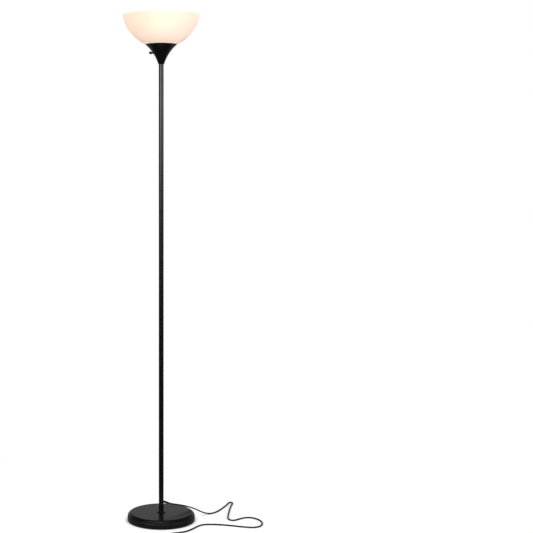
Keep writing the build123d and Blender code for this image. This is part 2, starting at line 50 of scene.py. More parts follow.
# Heights along the lamp, taken from the solids
SEAMS = [span(name)[1] for name in ("pole_bottom", "pole_lower", "pole_upper")]
CUP_RIM = span("cup")[1]
RING_LOW, RING_TOP = span("shade_ring")
BULB_CAP_LOW, BULB_CAP_TOP = span("bulb_cap")
GLOBE_LOW, GLOBE_TOP = span("bulb_diffuser")
SHADE_RIM = span("shade")[1]

# Camera, with its tilt in degrees and its lens and sensor in millimetres
CAMERA_PLACE = (0.0, -4.1, 1.2352)
CAMERA_TILT = 4.55
CAMERA_LENS = 78.965
CAMERA_SENSOR = 36.0
CAMERA_SHIFT = 0.19756
CAMERA_SIGHT = 100.0

# Turn switch. The flutes' depth is a share of the knob's radius.
SWITCH_HEIGHT = sum(span("switch_knob")) / 2
SWITCH_TURN = math.radians(229.0)
KNOB_INNER = 0.050
KNOB_REACH = 0.060
KNOB_RADIUS = 0.0046
KNOB_CHAMFER = 0.0013
KNOB_FLUTES = 20
KNOB_FLUTE_DEPTH = 0.055

# Ribbed sleeve behind the plug
SLEEVE_LENGTH = 0.030
SLEEVE_TIP = 0.0034
SLEEVE_ROOT = 0.0056
SLEEVE_GROOVE = 0.0011
SLEEVE_RIBS = 8

# Grip ribs on the shade ring
RING_RADIUS = 0.0279
RING_RIBS = 48
RING_RIB_RADIUS = 0.0008
RING_MARGIN_LOW = 0.0008
RING_MARGIN_TOP = 0.0014

# Thread on the bulb's cap
THREAD_RADIUS = 0.01245
THREAD_CREST = 0.0009
THREAD_TURNS = 4.0
THREAD_MARGIN_LOW = 0.0022
THREAD_MARGIN_TOP = 0.0025

# Cooling ribs on the bulb's body
BULB_NECK = 0.0146
BULB_SHOULDER = 0.0268
BULB_RIBS = 30
BULB_RIB_RADIUS = 0.0007
BULB_RIB_MARGIN = 0.0015

# Cord, and where it leaves the side of the lowest tube
CORD_DIAMETER = 0.0048
EXIT_TURN = math.radians(20.0)
EXIT_DIP = math.radians(20.0)
RELIEF_TIP = 0.030934
EXIT_STRAIGHT = 0.010

# The cord's route and its tied coil, in millimetres
MM = 0.001
EXIT_HEIGHT = 68.5
COIL_CENTRE = (-48.0, -231.0)
COIL_RADIUS = 30.2
COIL_PITCH = 5.4
COIL_LOW = 3.25
COIL_TURNS = 3.5
COIL_CLIMB = (1.5, 2.0)
COIL_ENTRY = 15.0
COIL_STEPS = 20
RISE_STEPS = 4

# Distance from the pole and height of the cord, from the strain relief down to the floor
DROP_ROUTE = [
    (54.9, 50.9), (73.8, 46.3), (90.8, 41.5), (106.8, 36.3), (122.2, 29.9),
    (136.2, 23.3), (149.6, 15.8), (161.6, 10.2), (173.0, 6.0),
]

# The cord on the floor, from where it comes down to the coil
FLOOR_ROUTE = [
    (177.6, 66.8), (190.0, 75.8), (200.6, 87.7), (210.8, 103.2), (227.0, 137.2),
    (241.0, 171.2), (248.2, 190.0), (251.2, 199.8), (253.2, 208.0), (258.6, 213.4),
    (265.2, 212.0), (268.2, 205.0), (265.6, 190.5), (259.8, 166.5), (252.0, 121.7),
    (245.4, 71.5), (240.6, 30.1), (239.7, 8.8), (242.5, -5.7), (249.9, -15.6),
    (261.1, -15.4), (271.8, -6.5), (286.0, 7.2), (305.4, 20.1), (326.4, 17.6),
    (345.0, 0.2), (356.1, -25.4), (358.2, -53.9), (350.3, -83.0), (331.8, -98.5),
    (310.3, -99.3), (276.8, -89.7), (241.8, -76.0), (206.7, -66.6), (172.3, -62.6),
    (145.4, -66.6), (126.3, -87.2), (112.6, -110.8), (98.0, -132.2), (83.3, -147.4),
    (65.9, -157.5), (46.4, -164.0), (27.9, -171.3), (9.8, -180.3), (-8.6, -190.0),
]

FULL_TURN = 2.0 * math.pi


# Camera

def set_camera():
    """Camera where the photograph was taken: above the middle of the lamp and tilted down a little."""
    data = bpy.data.cameras.new("camera")
    data.sensor_width = CAMERA_SENSOR
    data.lens = CAMERA_LENS
    data.shift_x = CAMERA_SHIFT
    data.clip_end = CAMERA_SIGHT
    camera = bpy.data.objects.new("camera", data)
    camera.location = CAMERA_PLACE
    camera.rotation_euler = (math.radians(90.0 - CAMERA_TILT), 0.0, 0.0)
    scene.collection.objects.link(camera)
    scene.camera = camera


set_camera()


# Cord

exit_way = Vector((
    math.cos(EXIT_TURN) * math.cos(EXIT_DIP),
    math.sin(EXIT_TURN) * math.cos(EXIT_DIP),
    -math.sin(EXIT_DIP),
))
exit_root = Vector((0.0, 0.0, EXIT_HEIGHT)) * MM
relief_end = exit_root + exit_way * RELIEF_TIP


def coil_spot(turn):
    """Middle of the cord in the tied coil, which winds inwards, climbs a layer and winds outwards again."""
    angle = math.radians(90.0 + 360.0 * turn)
    radius = COIL_RADIUS - COIL_PITCH * (COIL_TURNS / 2 - abs(turn - COIL_TURNS / 2))
    rise = min(max((turn - COIL_CLIMB[0]) / (COIL_CLIMB[1] - COIL_CLIMB[0]), 0.0), 1.0)
    height = COIL_LOW + COIL_PITCH * rise * rise * (3.0 - 2.0 * rise)
    return Vector((
        COIL_CENTRE[0] + radius * math.cos(angle),
        COIL_CENTRE[1] + radius * math.sin(angle),
        height,
    ))


def coil_way(turn):
    """Direction of the cord in the coil."""
    step = 0.001
    return (coil_spot(turn + step) - coil_spot(turn - step)).normalized()


coil_in = coil_spot(0.0) - coil_way(0.0) * CORD_DIAMETER / MM
plug_way = coil_way(COIL_TURNS)
coil_out = coil_spot(COIL_TURNS) * MM + plug_way * CORD_DIAMETER


def coil_points():
    """Control points of the coil's turns, set out a little so that the smooth line lies on the turns."""
    set_out = 2.0 / (1.0 + math.cos(FULL_TURN / COIL_STEPS)) - 1.0
    points = []
    for step in range(1, int(COIL_TURNS * COIL_STEPS)):
        spot = coil_spot(step / COIL_STEPS)
        across = Vector((spot.x - COIL_CENTRE[0], spot.y - COIL_CENTRE[1], 0.0))
        points.append(spot + across * set_out)
    return points


def cord_points():
    """Control points of the cord from the strain relief to the plug, in metres."""
    points = [relief_end / MM, (relief_end + exit_way * EXIT_STRAIGHT) / MM]
    for distance, height in DROP_ROUTE:
        points.append((distance * math.cos(EXIT_TURN), distance * math.sin(EXIT_TURN), height))
    lying = CORD_DIAMETER / MM / 2
    for index, (x, y) in enumerate(FLOOR_ROUTE):
        risen = max(0, index - len(FLOOR_ROUTE) + RISE_STEPS) / RISE_STEPS
        points.append((x, y, lying + (COIL_LOW - lying) * risen))
    points += [coil_in - coil_way(0.0) * COIL_ENTRY, coil_in, *coil_points(), coil_out / MM]
    return [Vector(point) * MM for point in points]


def smooth_line(name, points, radius):
    """Round curve through the bends of a row of control points."""
    data = bpy.data.curves.new(name, "CURVE")
    data.dimensions = "3D"
    spline = data.splines.new("NURBS")
    spline.points.add(len(points) - 1)
    for knot, point in zip(spline.points, points):
        knot.co = (point.x, point.y, point.z, 1.0)
    spline.order_u = 3
    spline.use_endpoint_u = True
    spline.resolution_u = 6
    data.bevel_depth = radius
    data.bevel_resolution = 5
    data.use_fill_caps = True
    line = bpy.data.objects.new(name, data)
    scene.collection.objects.link(line)
    return line


cord = smooth_line("cord", cord_points(), CORD_DIAMETER / 2)


# Nodes

def place(tree, kind, values=None, **settings):
    """Adds a node, sets its options, and sets or links its inputs."""
    node = tree.nodes.new(kind)
    for key, value in settings.items():
        setattr(node, key, value)
    for key, value in (values or {}).items():
        if isinstance(value, bpy.types.NodeSocket):
            tree.links.new(value, node.inputs[key])
        else:
            node.inputs[key].default_value = value
    return node


def sums(tree, first, operation, *others):
    """Result of one sum on values or sockets."""
    values = dict(enumerate((first, *others)))
    return place(tree, "ShaderNodeMath", values, operation=operation).outputs[0]


def chain(tree, operation, first, *others):
    """Result of the same sum on several levels in turn."""
    total = first
    for level in others:
        total = sums(tree, total, operation, level)
    return total


def grade(tree, value, low, high, start=0.0, end=1.0, smooth=False):
    """Value moved from one range to another, and held at its ends."""
    values = {0: value, 1: low, 2: high, 3: start, 4: end}
    style = "SMOOTHSTEP" if smooth else "LINEAR"
    return place(tree, "ShaderNodeMapRange", values, interpolation_type=style).outputs["Result"]


def part_of(tree, vector, axis):
    """One part of a vector."""
    return place(tree, "ShaderNodeSeparateXYZ", {0: vector}).outputs[axis]


def noise(tree, spot, scale, **options):
    """Level of a cloudy noise."""
    values = {"Vector": spot, "Scale": scale, **options}
    return place(tree, "ShaderNodeTexNoise", values).outputs["Fac"]


def full_colour(colour):
    """Full colour from a grey level or from three parts."""
    parts = (colour,) * 3 if isinstance(colour, float) else colour
    return (*parts, 1.0)


def stepped(tree, value, steps):
    """Colour that follows a value through rising steps, each a value with its grey level or colour."""
    ramp = place(tree, "ShaderNodeValToRGB", {0: value})
    stops = ramp.color_ramp.elements
    for index in (0, -1):
        position, colour = steps[index]
        stops[index].position = position
        stops[index].color = full_colour(colour)
    for position, colour in steps[1:-1]:
        stops.new(position).color = full_colour(colour)
    return ramp.outputs["Color"]


# Effects that the finishes share

def new_effect(name, outputs, **inputs):
    """Empty shader group with a place, named inputs, given with their values, and named outputs."""
    group = bpy.data.node_groups.new(name, "ShaderNodeTree")
    group.interface.new_socket("Vector", in_out="INPUT", socket_type="NodeSocketVector")
    for label, value in inputs.items():
        kind = "NodeSocketVector" if isinstance(value, tuple) else "NodeSocketFloat"
        socket = group.interface.new_socket(label, in_out="INPUT", socket_type=kind)
        socket.default_value = value
    for label in outputs:
        group.interface.new_socket(label, in_out="OUTPUT", socket_type="NodeSocketFloat")
    given = group.nodes.new("NodeGroupInput").outputs
    result = group.nodes.new("NodeGroupOutput").inputs
    return group, given, result


def make_grain():
    """Cloudy variation of a surface between two values, with a height for bump."""
    group, given, result = new_effect(
        "grain", ("Value", "Height"), Scale=100.0, Detail=3.0, Low=0.0, High=1.0,
    )
    cloud = noise(group, given["Vector"], given["Scale"], Detail=given["Detail"])
    group.links.new(grade(group, cloud, 0.32, 0.68, given["Low"], given["High"]), result["Value"])
    group.links.new(cloud, result["Height"])
    return group


def make_scuffs():
    """Mask of fine drawn-out scratches, in patches."""
    group, given, result = new_effect(
        "scuffs", ("Mask",), Scale=60.0, Stretch=(1.0, 1.0, 1.0), Amount=1.0,
    )
    spot = given["Vector"]
    drawn = place(group, "ShaderNodeVectorMath", {0: spot, 1: given["Stretch"]}, operation="MULTIPLY")
    lines = noise(group, drawn.outputs["Vector"], given["Scale"], Detail=6.0, Roughness=0.62)
    sharp = grade(group, lines, 0.60, 0.72)
    patches = grade(group, noise(group, spot, 9.0), 0.45, 0.65)
    group.links.new(chain(group, "MULTIPLY", sharp, patches, given["Amount"]), result["Mask"])
    return group


def make_worn_band():
    """Broken band of wear round an edge at one height."""
    group, given, result = new_effect("worn_band", ("Mask",), Height=0.0, Reach=0.001, Scale=150.0)
    spot = given["Vector"]
    off = sums(group, part_of(group, spot, "Z"), "SUBTRACT", given["Height"])
    near = grade(group, sums(group, off, "ABSOLUTE"), 0.0, given["Reach"], 1.0, 0.0)
    broken = grade(group, noise(group, spot, given["Scale"], Detail=5.0), 0.46, 0.62)
    group.links.new(sums(group, near, "MULTIPLY", broken), result["Mask"])
    return group


def make_cells():
    """Pores or grains: a mask that is strong in each cell's middle, and the cell's tone."""
    group, given, result = new_effect("cells", ("Mask", "Tone"), Scale=300.0, Size=0.5)
    cells = place(group, "ShaderNodeTexVoronoi", {"Vector": given["Vector"], "Scale": given["Scale"]})
    inside = grade(group, cells.outputs["Distance"], 0.0, given["Size"], 1.0, 0.0)
    tone = place(group, "ShaderNodeSeparateColor", {0: cells.outputs["Color"]})
    group.links.new(inside, result["Mask"])
    group.links.new(tone.outputs[0], result["Tone"])
    return group


effects = {
    "grain": make_grain(),
    "scuffs": make_scuffs(),
    "worn_band": make_worn_band(),
    "cells": make_cells(),
}


def effect(tree, name, spot, **values):
    """Outputs of one of the shared effects, placed in a material."""
    return place(tree, "ShaderNodeGroup", {"Vector": spot, **values}, node_tree=effects[name]).outputs


# Finishes

# Height and reach of the worn bands on painted edges: the tubes' seams, the base's foot and the cup's rim
WORN_EDGES = [*((seam, 0.0008) for seam in SEAMS), (0.0010, 0.0022), (CUP_RIM, 0.0006)]

# Added roughness of the paint, as a share of its most, from upright to level surfaces
PAINT_STEPS = ((0.04, 0.0), (0.12, 1.0), (0.42, 1.0), (0.60, 0.45), (0.90, 0.45), (0.99, 0.20))
PAINT_ROUGHEST = 0.35

# Colours of the painted glow of the bowl from the cup to its rim, with painted shade darker towards the cup
OPAL_PAINTED_GLOW_STEPS = ((0.0, (0.80, 0.61, 0.49)), (0.35, (1.0, 0.74, 0.58)), (1.0, (1.0, 0.84, 0.64)))
OPAL_FOOT = CUP_RIM - 0.006
GLOBE_CROWN = GLOBE_TOP - 0.01


def empty_material(name):
    """Material with an empty tree, and the socket of its surface."""
    material = bpy.data.materials.new(name)
    material.use_nodes = True
    tree = material.node_tree
    tree.nodes.clear()
    surface = tree.nodes.new("ShaderNodeOutputMaterial").inputs["Surface"]
    return material, tree, surface


def new_finish(name, **constants):
    """Material with one shader, whose plain values are set on its own sockets."""
    finish, tree, surface = empty_material(name)
    shader = tree.nodes.new("ShaderNodeBsdfPrincipled")
    for key, value in constants.items():
        shader.inputs[key.replace("_", " ")].default_value = value
    tree.links.new(shader.outputs["BSDF"], surface)
    spot = tree.nodes.new("ShaderNodeTexCoord").outputs["Object"]
    return finish, tree, shader, spot


def feed(tree, shader, **sockets):
    """Links varying values to a shader's sockets."""
    for key, value in sockets.items():
        tree.links.new(value, shader.inputs[key.replace("_", " ")])


def blend_colours(tree, mask, first, second):
    """Colour that goes from the first to the second by a mask."""
    ends = [end if isinstance(end, bpy.types.NodeSocket) else full_colour(end) for end in (first, second)]
    return place(tree, "ShaderNodeMix", {0: mask, 6: ends[0], 7: ends[1]}, data_type="RGBA").outputs[2]


def times(colour, factor):
    """Paler or darker tone of a colour."""
    return tuple(min(1.0, part * factor) for part in colour)


def raise_bump(tree, shader, height, strength, distance):
    """Fine relief on a shader."""
    bump = place(tree, "ShaderNodeBump", {"Height": height, "Strength": strength, "Distance": distance})
    tree.links.new(bump.outputs["Normal"], shader.inputs["Normal"])


def black_paint():
    """Satin black powder coat, with a fine skin, settled dust on up-facing surfaces that is also a painted
    sheen lightening them, and wear along its edges.
    """
    finish, tree, shader, spot = new_finish("black_paint", Specular_IOR_Level=0.4)
    skin = effect(tree, "grain", spot, Scale=700.0, Detail=2.0)
    cloud = effect(tree, "grain", spot, Scale=14.0, Low=0.17, High=0.20)
    scratches = effect(tree, "scuffs", spot, Scale=45.0, Stretch=(1.0, 7.0, 1.0), Amount=0.12)["Mask"]
    bands = [
        effect(tree, "worn_band", spot, Height=height, Reach=reach)["Mask"] for height, reach in WORN_EDGES
    ]
    wear = chain(tree, "MAXIMUM", scratches, *bands)
    up = part_of(tree, tree.nodes.new("ShaderNodeNewGeometry").outputs["Normal"], "Z")
    specks = effect(tree, "grain", spot, Scale=260.0, Detail=6.0, Low=0.0, High=0.9)
    # Settled dust and painted sheen: surfaces that face up are made a little paler
    dust_and_sheen = sums(tree, grade(tree, up, 0.75, 1.0), "MULTIPLY", specks["Value"])
    dust_and_sheen_colour = blend_colours(tree, dust_and_sheen, (0.0036, 0.0036, 0.0039), (0.0085, 0.0084, 0.0088))
    colour = blend_colours(tree, wear, dust_and_sheen_colour, (0.055, 0.053, 0.052))
    bend = stepped(tree, up, PAINT_STEPS)
    gloss = sums(tree, bend, "MULTIPLY_ADD", PAINT_ROUGHEST, cloud["Value"])
    feed(tree, shader, Base_Color=colour, Roughness=gloss)
    raise_bump(tree, shader, skin["Height"], 0.04, 0.0002)
    return finish


def moulded(name, colour, low, high, scale=500.0, tint=1.6, level=0.4, bump=0.15):
    """Moulded plastic or rubber: a fine grain, cloudy gloss and slightly paler rubbed places."""
    finish, tree, shader, spot = new_finish(name, Specular_IOR_Level=level)
    grain = effect(tree, "grain", spot, Scale=scale, Detail=4.0)
    gloss = effect(tree, "grain", spot, Scale=60.0, Low=low, High=high)
    rubbed = effect(tree, "scuffs", spot, Scale=90.0, Amount=0.6)["Mask"]
    base = blend_colours(tree, grain["Value"], colour, times(colour, 0.85))
    worn = blend_colours(tree, rubbed, base, times(colour, tint))
    feed(tree, shader, Base_Color=worn, Roughness=gloss["Value"])
    raise_bump(tree, shader, grain["Height"], bump, 0.0002)
    return finish


def plated(name, colour, stain, low, high):
    """Bare or plated metal with tarnish, fine scratches and an uneven gloss."""
    finish, tree, shader, spot = new_finish(name, Metallic=1.0)
    bloom = effect(tree, "grain", spot, Scale=120.0, Detail=5.0)
    marks = effect(tree, "scuffs", spot, Scale=140.0, Amount=0.8)["Mask"]
    gloss = effect(tree, "grain", spot, Scale=300.0, Low=low, High=high)
    base = blend_colours(tree, bloom["Value"], colour, stain)
    marked = blend_colours(tree, marks, base, times(colour, 1.2))
    feed(tree, shader, Base_Color=marked, Roughness=gloss["Value"])
    raise_bump(tree, shader, bloom["Height"], 0.08, 0.0001)
    return finish


def porous(name, colour, fleck, scale, size, strength):
    """Cement, foam or fibre: flecks of another tone, and pits."""
    finish, tree, shader, spot = new_finish(name, Specular_IOR_Level=0.2)
    pits = effect(tree, "cells", spot, Scale=scale, Size=size)
    tone = effect(tree, "grain", spot, Scale=40.0, Low=0.0, High=0.6)
    rough = effect(tree, "grain", spot, Scale=400.0, Low=0.8, High=0.97)
    flecked = blend_colours(tree, pits["Tone"], colour, fleck)
    toned = blend_colours(tree, tone["Value"], flecked, times(colour, 0.8))
    feed(tree, shader, Base_Color=toned, Roughness=rough["Value"])
    raise_bump(tree, shader, pits["Mask"], strength, 0.0006)
    return finish


def opal_plastic():
    """Glossy opal bowl with a painted glow for the bulb's light inside it, and painted shade that makes it
    dimmer and more peach towards the cup.
    """
    finish, tree, shader, spot = new_finish(
        "opal", Coat_Weight=0.35, Coat_Roughness=0.03, Roughness=0.45, Transmission_Weight=0.35,
        Emission_Strength=0.36,
    )
    cloud = effect(tree, "grain", spot, Scale=18.0, Low=-0.03, High=0.03)
    # Painted glow and painted shade: the bowl's own light, set by height, dimmer towards the cup
    level = grade(tree, part_of(tree, spot, "Z"), OPAL_FOOT, SHADE_RIM)
    glow = stepped(tree, sums(tree, level, "ADD", cloud["Value"]), OPAL_PAINTED_GLOW_STEPS)
    flow = effect(tree, "grain", spot, Scale=30.0, Detail=1.0)
    body = blend_colours(tree, flow["Value"], (0.80, 0.725, 0.65), (0.78, 0.695, 0.62))
    feed(tree, shader, Base_Color=body, Emission_Color=glow)
    raise_bump(tree, shader, flow["Height"], 0.02, 0.001)
    return finish


def bulb_opal():
    """Frosted globe of the bulb, brightest at its crown."""
    finish, tree, shader, spot = new_finish("bulb_opal", Roughness=0.5, Emission_Strength=3.0)
    level = grade(tree, part_of(tree, spot, "Z"), GLOBE_LOW, GLOBE_CROWN)
    frost = effect(tree, "grain", spot, Scale=900.0, Low=0.0, High=0.15)
    lit = sums(tree, level, "SUBTRACT", frost["Value"])
    glow = blend_colours(tree, lit, (0.75, 0.58, 0.38), (1.0, 0.90, 0.70))
    body = blend_colours(tree, frost["Value"], (0.85, 0.84, 0.80), (0.78, 0.77, 0.73))
    feed(tree, shader, Base_Color=body, Emission_Color=glow)
    raise_bump(tree, shader, frost["Height"], 0.05, 0.0001)
    return finish


finishes = {
    "black_paint": black_paint(),
    "black_plastic": moulded("black_plastic", (0.011, 0.011, 0.012), 0.40, 0.55),
    "cord": moulded(
        "cord", (0.012, 0.012, 0.013), 0.42, 0.55, scale=900.0, tint=1.3, level=0.25, bump=0.1,
    ),
    "wire_black": moulded("wire_black", (0.010, 0.010, 0.010), 0.35, 0.5),
    "wire_white": moulded("wire_white", (0.72, 0.71, 0.68), 0.35, 0.5, tint=1.1),
    "insulator": moulded("insulator", (0.020, 0.016, 0.024), 0.12, 0.25, scale=200.0, level=0.5),
    "bulb_white": moulded("bulb_white", (0.76, 0.75, 0.72), 0.38, 0.5, tint=1.1),
    "board_white": moulded("board_white", (0.70, 0.71, 0.68), 0.3, 0.45, tint=1.1),
    "steel": plated("steel", (0.52, 0.52, 0.51), (0.36, 0.36, 0.35), 0.28, 0.48),
    "brass": plated("brass", (0.74, 0.52, 0.24), (0.48, 0.31, 0.13), 0.22, 0.42),
    "cap_metal": plated("cap_metal", (0.74, 0.73, 0.71), (0.55, 0.54, 0.52), 0.22, 0.38),
    "cement": porous("cement", (0.30, 0.29, 0.27), (0.20, 0.195, 0.185), 260.0, 0.5, 0.5),
    "foam": porous("foam", (0.022, 0.022, 0.023), (0.035, 0.035, 0.036), 900.0, 0.6, 0.8),
    "fibre": porous("fibre", (0.30, 0.24, 0.17), (0.22, 0.17, 0.12), 1400.0, 0.7, 0.4),
    "opal": opal_plastic(),
    "bulb_opal": bulb_opal(),
}

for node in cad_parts.values():
    for holder in node.material_slots:
        holder.material = finishes[holder.material.name.split(".")[0]]


# Pieces that repeat or follow a line

# Fineness of the made meshes: sides round them, and sections along them
SLEEVE_SIDES = 40
SLEEVE_RIB_STEPS = 10.0
KNOB_SECTIONS = 43
KNOB_FLUTE_SIDES = 8.0
BAR_SIDES = 10
BAR_SECTIONS = 15
THREAD_SIDES = 12
THREAD_TURN_STEPS = 48


def new_maker(name, **inputs):
    """Empty geometry tree with named inputs, given with their kinds, a finish, and one geometry output."""
    tree = bpy.data.node_groups.new(name, "GeometryNodeTree")
    tree.interface.new_socket("Geometry", in_out="OUTPUT", socket_type="NodeSocketGeometry")
    for label, kind in {**inputs, "Finish": "Material"}.items():
        tree.interface.new_socket(label, in_out="INPUT", socket_type="NodeSocket" + kind)
    given = tree.nodes.new("NodeGroupInput").outputs
    return tree, given


def end_maker(tree, given, geometry):
    """Closes a tree: smooth shading, realised copies and the finish."""
    shaded = place(tree, "GeometryNodeSetShadeSmooth", {"Geometry": geometry, "Shade Smooth": True})
    real = place(tree, "GeometryNodeRealizeInstances", {"Geometry": shaded.outputs["Geometry"]})
    painted = place(tree, "GeometryNodeSetMaterial", {
        "Geometry": real.outputs["Geometry"], "Material": given["Finish"],
    })
    result = tree.nodes.new("NodeGroupOutput")
    tree.links.new(painted.outputs["Geometry"], result.inputs["Geometry"])
    return tree


def make_piece(name, tree, sizes, body, slot, hides=()):
    """Runs a geometry tree with its sizes and keeps the result as a plain mesh on a body."""
    holder = bpy.data.objects.new(name + "_maker", bpy.data.meshes.new(name + "_maker"))
    scene.collection.objects.link(holder)
    modifier = holder.modifiers.new("maker", "NODES")
    modifier.node_group = tree
    identifiers = {
        item.name: item.identifier for item in tree.interface.items_tree
        if item.item_type == "SOCKET" and item.in_out == "INPUT"
    }
    for label, value in sizes.items():
        modifier[identifiers[label]] = value
    modifier[identifiers["Finish"]] = finishes[slot]
    graph = bpy.context.evaluated_depsgraph_get()
    mesh = bpy.data.meshes.new_from_object(holder.evaluated_get(graph))
    mesh.name = name
    holder.modifiers.clear()
    bpy.data.objects.remove(holder)
    piece = bpy.data.objects.new(name, mesh)
    scene.collection.objects.link(piece)
    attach(piece, body)
    if hides:
        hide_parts(*hides)
    return piece


def straight(tree, start, end):
    """Straight curve between two places."""
    return place(tree, "GeometryNodeCurvePrimitiveLine", {"Start": start, "End": end}).outputs["Curve"]


def resample(tree, curve, count):
    """Curve with evenly spread points."""
    return place(tree, "GeometryNodeResampleCurve", {"Curve": curve, "Count": count}).outputs["Curve"]


def circle(tree, sides):
    """Circle with a radius of one, as a profile."""
    values = {"Resolution": sides, "Radius": 1.0}
    return place(tree, "GeometryNodeCurvePrimitiveCircle", values).outputs["Curve"]


def upright(tree, level, radius=0.0):
    """Place at a height and at a distance from the upright axis."""
    return place(tree, "ShaderNodeCombineXYZ", {"X": radius, "Z": level}).outputs["Vector"]


def ends_fade(tree, rate):
    """Level along a curve that climbs from nothing at each end to one."""
    along = tree.nodes.new("GeometryNodeSplineParameter").outputs["Factor"]
    end = sums(tree, along, "MINIMUM", sums(tree, 1.0, "SUBTRACT", along))
    return sums(tree, sums(tree, end, "MULTIPLY", rate), "MINIMUM", 1.0)


def swept(tree, curve, profile, radius):
    """Closed mesh of a profile along a curve, with a radius that may change on the way."""
    values = {"Curve": curve, "Profile Curve": profile, "Scale": radius, "Fill Caps": True}
    return place(tree, "GeometryNodeCurveToMesh", values).outputs["Mesh"]


def ribbed_sleeve_tree():
    """Tapered sleeve along a line, ringed by ribs that grow with it."""
    tree, given = new_maker(
        "ribbed_sleeve", Start="Vector", End="Vector", Tip="Float", Root="Float", Groove="Float",
        Ribs="Int",
    )
    count = sums(tree, sums(tree, given["Ribs"], "MULTIPLY", SLEEVE_RIB_STEPS), "ADD", 1.0)
    line = resample(tree, straight(tree, given["Start"], given["End"]), count)
    along = tree.nodes.new("GeometryNodeSplineParameter").outputs["Factor"]
    taper = grade(tree, along, 0.0, 1.0, given["Tip"], given["Root"])
    turns = chain(tree, "MULTIPLY", along, given["Ribs"], FULL_TURN)
    wave = sums(tree, sums(tree, turns, "COSINE"), "MULTIPLY", 3.0)
    flat_wave = place(tree, "ShaderNodeClamp", {0: wave, 1: -1.0, 2: 1.0}).outputs[0]
    half = sums(tree, given["Groove"], "MULTIPLY", 0.5)
    groove = sums(tree, sums(tree, 1.0, "SUBTRACT", flat_wave), "MULTIPLY", half)
    radius = sums(tree, taper, "SUBTRACT", groove)
    return end_maker(tree, given, swept(tree, line, circle(tree, SLEEVE_SIDES), radius))


def fluted_knob_tree():
    """Knob turned along a line, fluted round its side and bevelled at both ends."""
    tree, given = new_maker(
        "fluted_knob", Start="Vector", End="Vector", Radius="Float", Chamfer="Float", Flutes="Int",
        Depth="Float",
    )
    line = straight(tree, given["Start"], given["End"])
    along = tree.nodes.new("GeometryNodeSplineParameter").outputs["Length"]
    whole = place(tree, "GeometryNodeCurveLength", {"Curve": line}).outputs["Length"]
    end = sums(tree, along, "MINIMUM", sums(tree, whole, "SUBTRACT", along))
    cut = sums(tree, sums(tree, given["Chamfer"], "SUBTRACT", end), "MAXIMUM", 0.0)
    radius = sums(tree, given["Radius"], "SUBTRACT", cut)
    ring = circle(tree, sums(tree, given["Flutes"], "MULTIPLY", KNOB_FLUTE_SIDES))
    index = tree.nodes.new("GeometryNodeInputIndex").outputs[0]
    wave = sums(tree, sums(tree, index, "MULTIPLY", FULL_TURN / KNOB_FLUTE_SIDES), "COSINE")
    half = sums(tree, given["Depth"], "MULTIPLY", -0.5)
    hollow = sums(tree, sums(tree, 1.0, "SUBTRACT", wave), "MULTIPLY", half)
    spot = tree.nodes.new("GeometryNodeInputPosition").outputs[0]
    inward = place(tree, "ShaderNodeVectorMath", {0: spot, "Scale": hollow}, operation="SCALE")
    fluted = place(tree, "GeometryNodeSetPosition", {
        "Geometry": ring, "Offset": inward.outputs["Vector"],
    }).outputs["Geometry"]
    return end_maker(tree, given, swept(tree, resample(tree, line, KNOB_SECTIONS), fluted, radius))


def grip_ribs_tree():
    """Upright rounded bars set round a circle."""
    tree, given = new_maker(
        "grip_ribs", Radius="Float", Low="Float", High="Float", Top="Float", Count="Int", Bar="Float",
    )
    foot = upright(tree, given["Low"], given["Radius"])
    head = upright(tree, given["High"], given["Top"])
    line = resample(tree, straight(tree, foot, head), BAR_SECTIONS)
    ease = sums(tree, ends_fade(tree, 8.0), "POWER", 0.5)
    radius = sums(tree, sums(tree, ease, "MAXIMUM", 0.15), "MULTIPLY", given["Bar"])
    bar = swept(tree, line, circle(tree, BAR_SIDES), radius)
    ring = place(tree, "GeometryNodeMeshCircle", {"Vertices": given["Count"], "Radius": 1.0})
    middle = place(tree, "GeometryNodeTransform", {
        "Geometry": ring.outputs["Mesh"], "Scale": (0.0, 0.0, 0.0),
    })
    index = tree.nodes.new("GeometryNodeInputIndex").outputs[0]
    angle = sums(tree, sums(tree, index, "DIVIDE", given["Count"]), "MULTIPLY", FULL_TURN)
    turn = place(tree, "FunctionNodeAxisAngleToRotation", {"Axis": (0.0, 0.0, 1.0), "Angle": angle})
    bars = place(tree, "GeometryNodeInstanceOnPoints", {
        "Points": middle.outputs["Geometry"], "Instance": bar, "Rotation": turn.outputs["Rotation"],
    })
    return end_maker(tree, given, bars.outputs["Instances"])


def screw_thread_tree():
    """Rounded thread that climbs round an upright axis."""
    tree, given = new_maker(
        "screw_thread", Radius="Float", Low="Float", High="Float", Turns="Float", Crest="Float",
    )
    spiral = place(tree, "GeometryNodeCurveSpiral", {
        "Resolution": THREAD_TURN_STEPS, "Rotations": given["Turns"], "Start Radius": given["Radius"],
        "End Radius": given["Radius"], "Height": sums(tree, given["High"], "SUBTRACT", given["Low"]),
    })
    raised = place(tree, "GeometryNodeTransform", {
        "Geometry": spiral.outputs["Curve"], "Translation": upright(tree, given["Low"]),
    })
    ease = sums(tree, ends_fade(tree, 10.0), "MAXIMUM", 0.2)
    radius = sums(tree, ease, "MULTIPLY", given["Crest"])
    return end_maker(tree, given, swept(
        tree, raised.outputs["Geometry"], circle(tree, THREAD_SIDES), radius,
    ))


grip_ribs = grip_ribs_tree()

switch_way = Vector((math.cos(SWITCH_TURN), math.sin(SWITCH_TURN), 0.0))
switch_root = Vector((0.0, 0.0, SWITCH_HEIGHT))
make_piece("knob", fluted_knob_tree(), {
    "Start": switch_root + switch_way * KNOB_INNER,
    "End": switch_root + switch_way * KNOB_REACH,
    "Radius": KNOB_RADIUS,
    "Chamfer": KNOB_CHAMFER,
    "Flutes": KNOB_FLUTES,
    "Depth": KNOB_FLUTE_DEPTH,
}, "switch", "black_plastic", ("switch_knob",))

